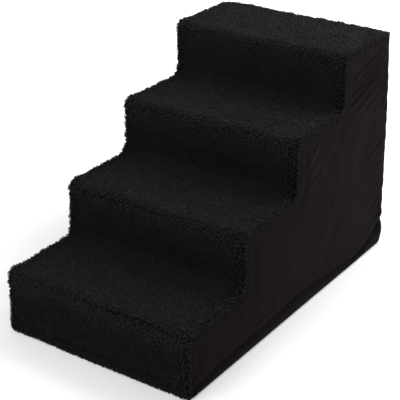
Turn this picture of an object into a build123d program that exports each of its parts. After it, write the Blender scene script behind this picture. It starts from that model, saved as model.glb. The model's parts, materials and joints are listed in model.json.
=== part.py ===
from build123d import *
from math import hypot
import os

# Pet stairs: a laminated foam core in a removable cover. A strip of curly plush runs over the risers
# and treads, smooth suede-look panels close the sides and the back, a non-slip cloth closes the base,
# and a zip across the low back lets the cover come off.
# Millimetres. X runs across the stairs, the steps climb towards +Y, Z is up. The origin is on the
# floor, at the middle of the box round the whole object.

# Stairs, over the cover. The sides lean in a little, so the stairs are widest on the floor.
step_count = 4
bottom_riser_height = 137.5
upper_riser_height = 123.5
step_depth = 189.2
top_tread_depth = 203.2
top_width = 420.0
floor_width = 440.0
nose_radius = 18.0
valley_radius = 27.0

# Cover cloths
plush_thickness = 6.0
plush_edge_radius = 4.0
suede_thickness = 1.4
base_thickness = 1.7
ease = 0.3
side_recess = 1.5

# Main folds of each side panel. A fold's sections are at shares of its length and have shares of its
# full size. Each fold runs from one point to another, at shares of the cover's depth and height.
fold_height = 1.3
fold_half_width = 9.0
fold_section_shares = ((0, 0.3), (0.35, 1), (0.65, 1), (1, 0.3))
fold_place_shares = (
    ((0.972, 0.945), (0.783, 0.856)),
    ((0.972, 0.896), (0.777, 0.807)),
    ((0.963, 0.846), (0.850, 0.778)),
    ((0.607, 0.663), (0.529, 0.567)),
    ((0.972, 0.531), (0.914, 0.472)),
    ((0.829, 0.089), (0.457, 0.060)),
)

# Zip: its place on the back, its cloth tapes and its chain of moulded teeth
zip_height = 38.0
zip_end_inset = 30.0
tape_width = 16.0
tape_thickness = 0.6
tape_edge_offset = 1.7
tooth_pitch = 3.6
tooth_thickness = 2.4
tooth_reach = 1.3
tooth_head_width = 1.96
tooth_tip_width = 1.2
tooth_neck_width = 1.36
tooth_root_width = 2.1
tooth_grip = 1.7
tooth_bulge_share = 0.67
stop_length = 2.6
stop_grip = 2.2
stop_thickness = 2.8

# Slider
slider_length = 13.0
slider_rear_width = 9.6
slider_front_width = 13.0
slider_nose_width = 4.4
slider_shoulder_setback = 2.0
slider_flare_length = 5.0
plate_thickness = 1.1
plate_corner_radius = 0.9
flange_thickness = 0.9
channel_height = 2.9
flange_gap = 1.2
diamond_width = 2.7
diamond_length = 6.2
diamond_front_share = 0.6
diamond_widest_share = 0.6
bridge_length = 9.2
bridge_width = 2.6
bridge_thickness = 1.1
bridge_corner_radius = 1.6
slider_clearance = 0.3
panel_clearance = 0.6

# Pull tab
pull_length = 25.0
pull_thickness = 1.5
pull_head_width = 6.6
pull_tab_width = 7.6
pull_neck_width = 5.4
pull_eye_width = 3.2
pull_corner_radius = 1.2
pull_slot_length = 8.0
pull_slot_width = 2.4
pull_play = 0.25

# Heights and widths that follow from the sizes above
foam_bottom = base_thickness + ease
plush_build = plush_thickness + ease
cover_height = bottom_riser_height + (step_count - 1) * upper_riser_height
lean_run = (floor_width - top_width) / 2
stock_width = max(floor_width, top_width)
foam_inset = side_recess + suede_thickness + ease

# Depths, from the front to the back of the object
pull_axis_height = pull_thickness / 2 + slider_clearance
bridge_inner_height = pull_axis_height + pull_thickness / 2 + pull_play
bridge_height = bridge_inner_height + bridge_thickness
slider_rise = channel_height / 2 + plate_thickness + bridge_height
zip_stands_out = slider_rise - tape_thickness / 2 - suede_thickness
cover_depth = (step_count - 1) * step_depth + top_tread_depth
front = -(cover_depth + zip_stands_out) / 2
back = front + cover_depth
panel_inner = back - suede_thickness
tape_middle = panel_inner - tape_thickness / 2
foam_back = panel_inner - tape_thickness - ease

# Places along the zip, measured from its middle towards its closed end
zip_length = floor_width - 2 * zip_end_inset
opening_half_height = slider_front_width / 2 + panel_clearance
slider_closed = zip_length / 2 - stop_length - slider_clearance - slider_length / 2
slider_open = -(zip_length / 2 - stop_length - slider_clearance - slider_length / 2)
slider_travel = slider_closed - slider_open
first_tooth = -(zip_length / 2 - stop_length - ease - tooth_root_width / 2)
last_tooth = slider_closed - tooth_root_width
teeth_per_row = int((last_tooth - first_tooth - tooth_pitch / 2) / tooth_pitch) + 1
groove_depth = channel_height / 2 + plate_thickness + slider_clearance - (tape_middle - foam_back)

# The zip lies on the back of the foam. Seen from behind, its local x runs to its closed end, its
# local y up and its local z out of the back.
zip_plane = Plane(origin=(0, tape_middle, zip_height), x_dir=(-1, 0, 0), z_dir=(0, 1, 0))
slider_plane = Plane(origin=(-slider_closed, tape_middle, zip_height), x_dir=(-1, 0, 0), z_dir=(0, 1, 0))
plate_face = tape_middle + channel_height / 2 + plate_thickness
bridge_plane = Plane(origin=(-slider_closed, plate_face, zip_height), x_dir=(-1, 0, 0), z_dir=(0, 0, -1))

os.makedirs("parts", exist_ok=True)


def keep(builder, label):
    """Names a finished piece and writes it to its own file"""
    builder.part.label = label
    export_step(builder.part, f"parts/{label}.step")


def tread_height(step):
    """Height of the plush surface of one tread, counted from 0 at the bottom"""
    return bottom_riser_height + step * upper_riser_height


def stair_corners(inset, last_y):
    """Corners (y, z) of the stair profile, from the floor at the front to the top tread's back edge"""
    corners = [(front + inset, 0)]
    for step in range(step_count):
        riser_y = front + inset + step * step_depth
        tread_z = tread_height(step) - inset
        next_y = riser_y + step_depth if step < step_count - 1 else last_y
        corners += [(riser_y, tread_z), (next_y, tread_z)]
    return corners


def stair_radii(inset):
    """Radii of those corners: tight at the noses, wide where the cover bridges the valleys"""
    return [nose_radius - inset, valley_radius + inset] * (step_count - 1) + [nose_radius - inset]


def side_plane(side, inset):
    """Plane of the leaning right (1) or left (-1) side, moved inwards by inset. Its y runs up the side."""
    outermost = Plane(
        origin=(side * floor_width / 2, 0, 0),
        x_dir=(0, side, 0),
        z_dir=(side * cover_height, 0, lean_run),
    )
    return outermost.offset(-inset)


def trim_sides(inset):
    """Cuts the part that is being built to the two leaning sides"""
    for side in (-1, 1):
        split(bisect_by=side_plane(side, inset), keep=Keep.BOTTOM)


# Foam core: four slabs glued flat on each other, each one going shorter than the one below
foam_front = front + plush_build
for step in range(step_count):
    slab_front = foam_front + step * step_depth
    slab_bottom = foam_bottom if step == 0 else tread_height(step - 1) - plush_build
    slab_top = tread_height(step) - plush_build
    with BuildPart() as foam_slab:
        with BuildSketch(Plane.YZ):
            with BuildLine():
                path = FilletPolyline(
                    (slab_front, slab_bottom),
                    (slab_front, slab_top),
                    (foam_back, slab_top),
                    radius=[nose_radius - plush_build],
                )
                Polyline(path @ 1, (foam_back, slab_bottom), (slab_front, slab_bottom))
            make_face()
        extrude(amount=stock_width / 2, both=True)
        trim_sides(foam_inset)
        if slab_bottom < zip_height < slab_top:
            # The foam gives way along the zip, where the slider's back plate runs
            with BuildSketch(zip_plane.offset(foam_back - tape_middle)):
                Rectangle(stock_width, 2 * opening_half_height)
            extrude(amount=-groove_depth, mode=Mode.SUBTRACT)
    keep(foam_slab, f"foam_slab_{step + 1}")

# Plush strip over the risers and treads, rolled over at both long edges
with BuildLine(Plane.YZ) as plush_surface:
    FilletPolyline(*stair_corners(0, back), radius=stair_radii(0))


def is_rolled_edge(edge):
    """True for the outer long edges of the strip, which run along the plush surface"""
    middle = edge.position_at(0.5)
    return plush_surface.line.distance_to(Vector(0, middle.Y, middle.Z)) < ease


with BuildPart() as step_panel:
    with BuildSketch(Plane.YZ):
        with BuildLine():
            outer = FilletPolyline(*stair_corners(0, back), radius=stair_radii(0))
            inner = FilletPolyline(
                *stair_corners(plush_thickness, back), radius=stair_radii(plush_thickness)
            )
            Line(outer @ 0, inner @ 0)
            Line(outer @ 1, inner @ 1)
        make_face()
    extrude(amount=stock_width / 2, both=True)
    trim_sides(0)
    fillet(
        step_panel.edges().filter_by(Axis.X, reverse=True).filter_by(is_rolled_edge),
        radius=plush_edge_radius,
    )
keep(step_panel, "step_panel")

# Side panels, sewn inside the plush strip and down to the floor, with the main folds of their cloth
side_back = panel_inner - ease


def add_fold(side, start_shares, end_shares):
    """Adds one long soft ridge, tapering to both ends, to the side panel that is being built"""
    cloth_middle = side_plane(side, side_recess + suede_thickness / 2)
    start, end = (
        cloth_middle.from_local_coords((side * (front + y_share * cover_depth), z_share * cover_height))
        for y_share, z_share in (start_shares, end_shares)
    )
    along = (end - start).normalized()
    sections = []
    for place_share, size_share in fold_section_shares:
        across = Plane(
            origin=start + (end - start) * place_share,
            x_dir=cloth_middle.z_dir.cross(along),
            z_dir=along,
        )
        half_width = fold_half_width * size_share
        with BuildSketch(across, mode=Mode.PRIVATE) as section:
            with BuildLine():
                Line((-half_width, 0), (half_width, 0))
                ThreePointArc(
                    (-half_width, 0),
                    (0, suede_thickness / 2 + fold_height * size_share),
                    (half_width, 0),
                )
            make_face()
        sections.append(section.sketch)
    loft(sections, ruled=True)


for side_name, side in (("left", -1), ("right", 1)):
    with BuildPart() as side_panel:
        with BuildSketch(Plane.YZ):
            with BuildLine():
                path = FilletPolyline(
                    *stair_corners(plush_build, side_back), radius=stair_radii(plush_build)
                )
                Polyline(path @ 1, (side_back, 0), path @ 0)
            make_face()
        extrude(amount=side * stock_width / 2)
        split(bisect_by=side_plane(side, side_recess), keep=Keep.BOTTOM)
        split(bisect_by=side_plane(side, side_recess + suede_thickness), keep=Keep.TOP)
        for start_shares, end_shares in fold_place_shares:
            add_fold(side, start_shares, end_shares)
    keep(side_panel, f"side_panel_{side_name}")

# Back of the cover, above and below the zip opening
back_top = cover_height - plush_build
for panel_name, panel_low, panel_high in (
    ("back_panel", zip_height + opening_half_height, back_top),
    ("back_strip", 0, zip_height - opening_half_height),
):
    with BuildPart() as back_cloth:
        with BuildSketch(zip_plane.offset(panel_inner - tape_middle)):
            with Locations((0, (panel_low + panel_high) / 2 - zip_height)):
                Rectangle(stock_width, panel_high - panel_low)
        extrude(amount=suede_thickness)
        trim_sides(side_recess)
    keep(back_cloth, panel_name)

# Non-slip base cloth, under the foam and inside the side panels
with BuildPart() as base_panel:
    with BuildSketch(Plane.XY):
        with Locations((0, (foam_front + foam_back) / 2)):
            Rectangle(stock_width, foam_back - foam_front)
    extrude(amount=base_thickness)
    trim_sides(foam_inset)
keep(base_panel, "base_panel")

# Zip tapes, sewn in with their ends in the side seams. Past the stops they come together.
tape_outer_edge = tape_edge_offset + tape_width
tape_inner_end = ease / 2
for row_name, row in (("upper", 1), ("lower", -1)):
    with BuildPart() as zip_tape:
        with BuildSketch(zip_plane.offset(-tape_thickness / 2)):
            with Locations((0, row * (tape_outer_edge + tape_inner_end) / 2)):
                Rectangle(stock_width, tape_outer_edge - tape_inner_end)
            Rectangle(zip_length + 2 * ease, 2 * tape_edge_offset, mode=Mode.SUBTRACT)
        extrude(amount=tape_thickness)
        trim_sides(foam_inset)
    keep(zip_tape, f"zip_tape_{row_name}")

# One moulded tooth of the upper row: a head that locks between two heads of the lower row, a neck,
# and a root that is split to grip the edge of the tape
tooth_root = tape_edge_offset + tooth_grip
tooth_bulge = tooth_bulge_share * tooth_reach
with BuildPart() as zip_tooth:
    with BuildSketch(Plane.XY.offset(-tooth_thickness / 2)):
        with BuildLine():
            Polyline(
                (0, -tooth_reach),
                (tooth_tip_width / 2, -tooth_reach),
                (tooth_head_width / 2, -tooth_bulge),
                (tooth_neck_width / 2, tooth_bulge),
                (tooth_root_width / 2, tape_edge_offset),
                (tooth_root_width / 2, tooth_root),
                (0, tooth_root),
            )
            mirror(about=Plane.YZ)
        make_face()
    extrude(amount=tooth_thickness)
    with BuildSketch(Plane.XY.offset(-tape_thickness / 2)):
        with Locations((0, tape_edge_offset + tape_width / 2)):
            Rectangle(2 * tooth_root_width, tape_width)
    extrude(amount=tape_thickness, mode=Mode.SUBTRACT)

# Tooth rows. The lower row is turned half a turn and starts half a pitch along, so the heads mesh.
for row_name, turn, row_start in (
    ("upper", 0, first_tooth),
    ("lower", 180, first_tooth + tooth_pitch / 2),
):
    teeth = [
        zip_tooth.part.moved(zip_plane.location * Location((place, 0, 0), (0, 0, turn)))
        for place in (row_start + count * tooth_pitch for count in range(teeth_per_row))
    ]
    tooth_row = Compound(teeth, label=f"zip_teeth_{row_name}")
    export_step(tooth_row, f"parts/zip_teeth_{row_name}.step")

# Stops crimped on the tapes: two at the closed end, one across both rows at the other end
stop_root = tape_edge_offset + stop_grip
for stop_name, stop_place, inner_edge in (
    ("zip_top_stops", zip_length / 2 - stop_length / 2, tape_edge_offset - stop_grip / 2),
    ("zip_bottom_stop", stop_length / 2 - zip_length / 2, 0),
):
    with BuildPart() as zip_stop:
        with BuildSketch(zip_plane):
            for row in (1, -1):
                with Locations((stop_place, row * (inner_edge + stop_root) / 2)):
                    Rectangle(stop_length, stop_root - inner_edge)
        extrude(amount=stop_thickness / 2, both=True)
        with BuildSketch(zip_plane):
            for row in (1, -1):
                with Locations((stop_place, row * (tape_edge_offset + tape_width / 2))):
                    Rectangle(2 * stop_length, tape_width)
        extrude(amount=tape_thickness / 2, both=True, mode=Mode.SUBTRACT)
    keep(zip_stop, stop_name)

# Slider: two plates joined by the diamond that parts the rows, with flanges that wrap the chain and
# leave a gap for the tapes, and a bridge on its outer face that holds the pull
slider_rear = -slider_length / 2
slider_tip = slider_length / 2
shoulder = slider_tip - slider_shoulder_setback
waist = shoulder - slider_flare_length
rear_half_channel = slider_rear_width / 2 - flange_thickness
front_half_channel = slider_front_width / 2 - flange_thickness
half_channel = channel_height / 2
half_gap = flange_gap / 2
with BuildPart() as zip_slider:
    with BuildSketch(slider_plane.offset(half_gap)):
        with BuildLine():
            FilletPolyline(
                (slider_rear, 0),
                (slider_rear, slider_rear_width / 2),
                (waist, slider_rear_width / 2),
                (shoulder, slider_front_width / 2),
                (slider_tip, slider_nose_width / 2),
                (slider_tip, 0),
                radius=[
                    plate_corner_radius,
                    2 * plate_corner_radius,
                    plate_corner_radius,
                    plate_corner_radius,
                ],
            )
            mirror(about=Plane.XZ)
        make_face()
    extrude(amount=half_channel - half_gap + plate_thickness)
    with BuildSketch(slider_plane.offset(half_gap)):
        with BuildLine():
            Polyline(
                (slider_rear - slider_clearance, 0),
                (slider_rear - slider_clearance, rear_half_channel),
                (waist, rear_half_channel),
                (shoulder, front_half_channel),
                (slider_tip + slider_clearance, front_half_channel),
                (slider_tip + slider_clearance, 0),
            )
            mirror(about=Plane.XZ)
        make_face()
    extrude(amount=half_channel - half_gap, mode=Mode.SUBTRACT)
    mirror(about=slider_plane)
    with BuildSketch(slider_plane):
        with BuildLine():
            Polyline(
                (slider_tip - diamond_length, 0),
                (slider_tip - diamond_length * (1 - diamond_widest_share), diamond_width / 2),
                (slider_tip, diamond_width / 2 * diamond_front_share),
                (slider_tip, 0),
            )
            mirror(about=Plane.XZ)
        make_face()
    extrude(amount=half_channel, both=True)
    with BuildSketch(bridge_plane):
        with BuildLine():
            arch_outside = FilletPolyline(
                (-bridge_length / 2, 0),
                (-bridge_length / 2, bridge_height),
                (bridge_length / 2, bridge_height),
                (bridge_length / 2, 0),
                radius=bridge_corner_radius,
            )
            arch_inside = FilletPolyline(
                (bridge_thickness - bridge_length / 2, 0),
                (bridge_thickness - bridge_length / 2, bridge_inner_height),
                (bridge_length / 2 - bridge_thickness, bridge_inner_height),
                (bridge_length / 2 - bridge_thickness, 0),
                radius=bridge_corner_radius - bridge_thickness,
            )
            Line(arch_outside @ 0, arch_inside @ 0)
            Line(arch_outside @ 1, arch_inside @ 1)
        make_face()
    extrude(amount=bridge_width / 2, both=True)
keep(zip_slider, "zip_slider")

# Pull tab: its round crossbar turns under the bridge, and its eye is long enough to swing over it
pull_eye_end = hypot(bridge_length / 2, bridge_height - pull_axis_height) + pull_play
pull_head_length = pull_eye_end + (pull_head_width - pull_eye_width) / 2
pull_neck_length = pull_head_length + pull_neck_width / 2
pull_plane = Plane(
    origin=(-slider_closed, plate_face + pull_axis_height, zip_height),
    x_dir=(1, 0, 0),
    z_dir=(0, -1, 0),
)
with BuildPart() as zip_pull:
    with BuildSketch(pull_plane):
        with BuildLine():
            FilletPolyline(
                (0, 0),
                (0, pull_head_width / 2),
                (pull_head_length - pull_corner_radius, pull_head_width / 2),
                (pull_head_length, pull_neck_width / 2),
                (pull_neck_length, pull_neck_width / 2),
                (pull_neck_length + pull_corner_radius, pull_tab_width / 2),
                (pull_length, pull_tab_width / 2),
                (pull_length, 0),
                radius=[0, pull_corner_radius / 2, 0, 0, pull_corner_radius / 2, 2 * pull_corner_radius],
            )
            mirror(about=Plane.XZ)
        make_face()
        with Locations(((pull_thickness / 2 + pull_eye_end) / 2, 0)):
            Rectangle(pull_eye_end - pull_thickness / 2, pull_eye_width, mode=Mode.SUBTRACT)
        with Locations((pull_length - pull_slot_length / 2 - pull_slot_width, 0)):
            SlotOverall(pull_slot_length, pull_slot_width, mode=Mode.SUBTRACT)
    extrude(amount=pull_thickness / 2, both=True)
    with BuildSketch(bridge_plane):
        with Locations((0, pull_axis_height)):
            Circle(pull_thickness / 2)
    extrude(amount=pull_head_width / 2, both=True)
keep(zip_pull, "zip_pull")

# What the joints need: how far the slider runs and where the pull turns
print("zip slider travel", round(slider_travel, 2))
print("pull hinge", round(-slider_closed, 2), round(plate_face + pull_axis_height, 2), zip_height)
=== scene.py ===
import json
import math

import bpy
import numpy as np
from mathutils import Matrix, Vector, noise
from mathutils.geometry import delaunay_2d_cdt


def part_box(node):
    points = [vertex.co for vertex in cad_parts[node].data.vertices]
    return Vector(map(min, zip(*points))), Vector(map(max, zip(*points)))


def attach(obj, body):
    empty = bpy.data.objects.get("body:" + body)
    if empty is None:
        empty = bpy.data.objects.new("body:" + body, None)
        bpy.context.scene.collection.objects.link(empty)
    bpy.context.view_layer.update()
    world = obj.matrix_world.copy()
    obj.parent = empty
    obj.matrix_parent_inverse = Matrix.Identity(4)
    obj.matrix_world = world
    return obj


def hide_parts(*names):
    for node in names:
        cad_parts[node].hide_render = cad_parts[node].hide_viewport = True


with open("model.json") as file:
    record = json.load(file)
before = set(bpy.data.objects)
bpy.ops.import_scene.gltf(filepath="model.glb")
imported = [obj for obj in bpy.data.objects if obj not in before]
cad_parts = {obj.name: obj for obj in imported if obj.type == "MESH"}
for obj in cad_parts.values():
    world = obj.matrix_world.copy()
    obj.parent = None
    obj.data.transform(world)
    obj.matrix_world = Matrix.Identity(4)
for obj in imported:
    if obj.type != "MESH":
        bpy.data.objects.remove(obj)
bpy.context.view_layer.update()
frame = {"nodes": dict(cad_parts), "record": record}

# Pet stairs in a black cover: curly plush over the steps, suede-look sides and back, a zip low on
# the back. Lengths are in metres. The steps climb towards +Y, Z is up and X runs across.

MM = 0.001
STEPS = 4

# Places that the frame's pieces give
cover_low, cover_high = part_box("step_panel")
front, back, height = cover_low.y, cover_high.y, cover_high.z
floor_half_width = cover_high.x
slabs = [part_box(f"foam_slab_{step + 1}") for step in range(STEPS)]
plush_build = slabs[0][0].y - front
risers = [low.y - plush_build for low, high in slabs]
treads = [high.z + plush_build for low, high in slabs]
side_recess = floor_half_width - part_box("side_panel_right")[1].x
panel_bottom, panel_top = (corner.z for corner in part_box("back_panel"))
strip_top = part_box("back_strip")[1].z

# Shape of the cover, as in the CAD where it has the size
SIDE_LEAN = 10 * MM
NOSE_RADIUS = 18 * MM
VALLEY_RADIUS = 27 * MM
EDGE_RADIUS = 5 * MM
HEM_RADIUS = 3 * MM
HEM_RETURN = 7 * MM
SEAM_RADIUS = 1 * MM
SEAM_TUCK = 2.2 * MM
SEAM_OVERLAP = 2 * MM
CLOTH_FOLD_RADIUS = 2.5 * MM

# Pile of the plush
PLUSH_SPACING = 2.4 * MM
CLUMP_SIZE = 5.2 * MM
CLUMP_HEIGHT = 3.4 * MM
CURL_POINTS = 6
CURL_SIDES = 3

# Parted lines of the pile: number of the nose, where the line starts and ends in shares of the
# width, how far it is below the nose's middle there, and the seed of its noise
PARTED_LINES = (
    (0, 0.27, 0.92, 3 * MM, 3 * MM, 21),
    (1, 0.04, 0.60, 8 * MM, 7 * MM, 22),
)
PARTED_HALF_WIDTH = 1.7 * MM
PARTED_DEPTH = 1.8 * MM

# How much the pile opens over each nose, and how much painted shade darkens it low on the riser
# under it
NOSE_OPENING = (0.4, 0.75, 1.0, 1.0)
RISER_PAINTED_SHADE = (1.0, 1.0, 1.0, 0.35)

# Suede-look cloth: how far a side panel goes on past the back and the floor corner, how far the
# cloths stay from the back's face and the floor, and how far inside an edge its rings of points lie
CLOTH_SPACING = 2.6 * MM
BACK_SPACING = 1.3 * CLOTH_SPACING
SEAM_SPACING = 2 * MM
SIDE_WRAP = 7.0 * MM
FLOOR_WRAP = 5.0 * MM
CORNER_RADIUS = 7.0 * MM
BACK_EDGE_RADIUS = 1.2 * MM
BACK_GAP = 0.3 * MM
FLOOR_GAP = 0.15 * MM
SIDE_RINGS = (0.9 * MM, 1.8 * MM, 2.8 * MM, 3.9 * MM, 5.2 * MM)
BACK_RINGS = (0.3 * MM, 0.7 * MM, 1.2 * MM, 2.3 * MM, 3.6 * MM)

# Height of an even triangle in shares of its side
TRIANGLE_SHARE = 0.866

# Crease low on the sides: its height in mm at shares of the depth
SIDE_CREASE = (
    (0, 18), (0.07, 24), (0.2, 31), (0.31, 31), (0.45, 36), (0.51, 38), (0.64, 32),
    (0.71, 27), (0.82, 16), (0.88, 20), (0.93, 34), (0.965, 50), (1, 66),
)

# Zip: half the length between its stops' outer ends, and how far the tapes stay off its middle
ZIP_HALF_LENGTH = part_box("zip_bottom_stop")[1].x
ZIP_NOTCH = 1.55 * MM

# Sewing thread on the back
STITCH_LENGTH = 2.9 * MM
STITCH_PITCH = 3.7 * MM
STITCH_RADIUS = 0.32 * MM
STITCH_INSET = 3.2 * MM
STITCH_RINGS = 7
STITCH_SIDES = 6

# Base cloth and its rubber dots
BASE_SPACING = 12 * MM
BASE_RINGS = (1 * MM,)
DOT_ROWS = 57
DOT_COLUMNS = 28
DOT_RADIUS = 1.6 * MM
DOT_HEIGHT = 1.0 * MM
DOT_SIDES = 8
DOT_INSET = 12 * MM

# Points that a search through many places takes at a time
CHUNK = 1500

# Camera, fitted to the photographed profile, with its focal length in mm on a 36 mm sensor
AZIMUTH = math.radians(34.72)
ELEVATION = math.radians(25.59)
CAMERA_DISTANCE = 2384.4 * MM
CAMERA_TARGET = (-10.8 * MM, front + 368.4 * MM, 203.6 * MM)
FOCAL_LENGTH = 102

# Square lamps: place, aimed at, side, power in watts
LAMPS = {
    "key": ((0.35, 0.6, 1.15), (0.05, 0.2, 0.4), 0.8, 12.5),
    "side": ((1.6, 1.3, 1.05), (0, 0.1, 0.2), 1.2, 9),
    "front": ((-0.7, -1.4, 2.0), (0, 0, 0.2), 1.8, 31),
}
FLOOR_REACH = 30


# Small tools


def mesh_object(name, vertices, faces):
    """A smooth mesh object from vertices, in an array of any shape, and faces"""
    mesh = bpy.data.meshes.new(name)
    vertices, faces = np.asarray(vertices, np.float32), np.asarray(faces)
    sides = faces.shape[1]
    mesh.vertices.add(vertices.size // 3)
    mesh.vertices.foreach_set("co", vertices.ravel())
    mesh.loops.add(faces.size)
    mesh.loops.foreach_set("vertex_index", faces.astype(np.int32).ravel())
    mesh.polygons.add(len(faces))
    mesh.polygons.foreach_set("loop_start", np.arange(0, faces.size, sides, dtype=np.int32))
    mesh.update(calc_edges=True)
    mesh.validate()
    mesh.polygons.foreach_set("use_smooth", [True] * len(mesh.polygons))
    piece = bpy.data.objects.new(name, mesh)
    bpy.context.scene.collection.objects.link(piece)
    return piece


def dress(piece, material, body="stairs", replaces=()):
    """Gives a piece its material and the body it rides on"""
    piece.data.materials.clear()
    piece.data.materials.append(material)
    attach(piece, body)
    if replaces:
        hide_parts(*replaces)
    return piece


def add_shade(piece, shade):
    """Stores the lightness of each vertex, for the material to read: painted light and shade, and
    on the pile also its random tone
    """
    stored = piece.data.attributes.new("shade", "FLOAT", "POINT")
    stored.data.foreach_set("value", np.asarray(shade, np.float32))


def add_map(piece, u, v):
    """A map of the piece, from the places u, v of its vertices, for the pattern's bake"""
    corner = np.zeros(len(piece.data.loops), np.int32)
    piece.data.loops.foreach_get("vertex_index", corner)
    layer = piece.data.uv_layers.new(name="OFBake")
    places = np.stack([u.ravel(), v.ravel()], 1)[corner]
    layer.uv.foreach_set("vector", places.astype(np.float32).ravel())


def grid_faces(rows, columns):
    """Quads of a grid whose vertices are numbered row by row"""
    row, column = np.meshgrid(np.arange(rows - 1), np.arange(columns - 1), indexing="ij")
    first = (row * columns + column).ravel()
    return np.stack([first, first + columns, first + columns + 1, first + 1], 1)


def unit(vectors):
    """Vectors, one in each row, made one long"""
    return vectors / np.linalg.norm(vectors, axis=1)[:, None]


def rounded_path(corners, radii, spacing):
    """Even lengths and points along a path with rounded corners, with the normals on its left"""
    corners = [np.array(corner, float) for corner in corners]
    dense = [corners[0]]
    for before, corner, after, radius in zip(corners, corners[1:], corners[2:], radii):
        a, b = before - corner, after - corner
        a, b = a / np.linalg.norm(a), b / np.linalg.norm(b)
        half = math.acos(np.clip(a @ b, -1, 1)) / 2
        centre = corner + (a + b) / np.linalg.norm(a + b) * radius / math.sin(half)
        start = corner + a * radius / math.tan(half)
        end = corner + b * radius / math.tan(half)
        for share in np.linspace(0, 1, 24):
            ray = (start - centre) * (1 - share) + (end - centre) * share
            dense.append(centre + ray / np.linalg.norm(ray) * radius)
    dense.append(corners[-1])
    dense = np.array(dense)
    run = np.concatenate([[0], np.cumsum(np.linalg.norm(np.diff(dense, axis=0), axis=1))])
    at = np.linspace(0, run[-1], max(int(round(run[-1] / spacing)), 2) + 1)
    points = np.stack([np.interp(at, run, dense[:, k]) for k in (0, 1)], 1)
    along = unit(np.gradient(points, axis=0))
    return at, points, along[:, ::-1] * (-1, 1)


def spots(*coordinates):
    """3-D points from x, y and z, each an array or a number"""
    return np.stack(np.broadcast_arrays(*coordinates), -1)


def smooth_noise(points, size, seed):
    """Soft noise of this size, mostly from -1 to 1, at 3-D points in an array of any shape"""
    shift = Vector((seed * 7.31, seed * 3.17, seed * 5.77))
    values = [noise.noise(Vector(point) / size + shift) for point in points.reshape(-1, 3)]
    return np.reshape(values, points.shape[:-1]) * 1.6


def waves(points, tall, size, seed):
    """Soft noise in metres, from its height and size in mm"""
    return tall * MM * smooth_noise(points, size * MM, seed)


def in_chunks(work, points):
    """What a function gives for the points, worked out for some at a time to save memory"""
    starts = range(0, len(points), CHUNK)
    return np.concatenate([work(points[start : start + CHUNK]) for start in starts])


def tube_ring(core, first, second, radius, sides):
    """Points round the core of a tube, in the plane of two directions"""
    turns = [2 * math.pi * side / sides for side in range(sides)]
    return [core + (first * math.cos(turn) + second * math.sin(turn)) * radius for turn in turns]


def tube_faces(count, rings, sides):
    """Quads of equal tubes, whose vertices are numbered ring by ring and tube by tube"""
    ring, side = np.meshgrid(np.arange(rings - 1), np.arange(sides), indexing="ij")
    here, after = ring * sides + side, ring * sides + (side + 1) % sides
    quads = np.stack([here, after, after + sides, here + sides], 2).reshape(1, -1, 4)
    return (quads + np.arange(count)[:, None, None] * rings * sides).reshape(-1, 4)


def ramp(value, low, high):
    """Smooth step from 0 at low to 1 at high"""
    share = np.clip((value - low) / (high - low), 0, 1)
    return share * share * (3 - 2 * share)


def fade(length, low, high):
    """Smooth step between two lengths in mm"""
    return ramp(length, low * MM, high * MM)


def bell(value, middle, width):
    """1 at the middle, falling to 0.37 at the width and to nearly 0 at twice the width"""
    return np.exp(-(((value - middle) / width) ** 2))


def half_width(z):
    """Half the width of the cover at a height"""
    return floor_half_width - SIDE_LEAN * np.clip(z / height, 0, 1)


def stair_corners(inset, last_y):
    """Corners (y, z) of the stair profile and their radii, like those of the CAD"""
    corners, radii = [(front + inset, 0)], []
    for step in range(STEPS):
        next_y = risers[step + 1] + inset if step < STEPS - 1 else last_y
        corners += [(risers[step] + inset, treads[step] - inset), (next_y, treads[step] - inset)]
        radii += [NOSE_RADIUS - inset, VALLEY_RADIUS + inset]
    return corners, radii[:-1]


# Plush strip


def plush_surface():
    """Grid of the strip without its pile: places, normals, lengths along it and across it"""
    corners, radii = stair_corners(0, back)
    corners = [(front + HEM_RETURN, 0), *corners]
    corners += [(back, height - plush_build), (back - SEAM_TUCK, height - plush_build)]
    radii = [HEM_RADIUS, *radii, EDGE_RADIUS, SEAM_RADIUS]
    along, places, normals = rounded_path(corners, radii, PLUSH_SPACING)
    middle = half_width(height / 2)
    half = [(middle, 0), (middle, -plush_build), (middle - SEAM_TUCK, -plush_build)]
    across, section, section_normals = rounded_path(
        [(-x, depth) for x, depth in half[::-1]] + half,
        [SEAM_RADIUS, EDGE_RADIUS, EDGE_RADIUS, SEAM_RADIUS],
        PLUSH_SPACING,
    )
    flat_share = np.clip(section[:, 0] / (middle - EDGE_RADIUS), -1, 1)
    x = section[:, 0] + (half_width(places[:, 1]) - middle)[:, None] * flat_share
    y, z = (places[:, k, None] + normals[:, k, None] * section[:, 1] for k in (0, 1))
    facing_y, facing_z = (normals[:, k, None] * section_normals[:, 1] for k in (0, 1))
    return spots(x, y, z), spots(section_normals[:, 0], facing_y, facing_z), along, across


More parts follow.
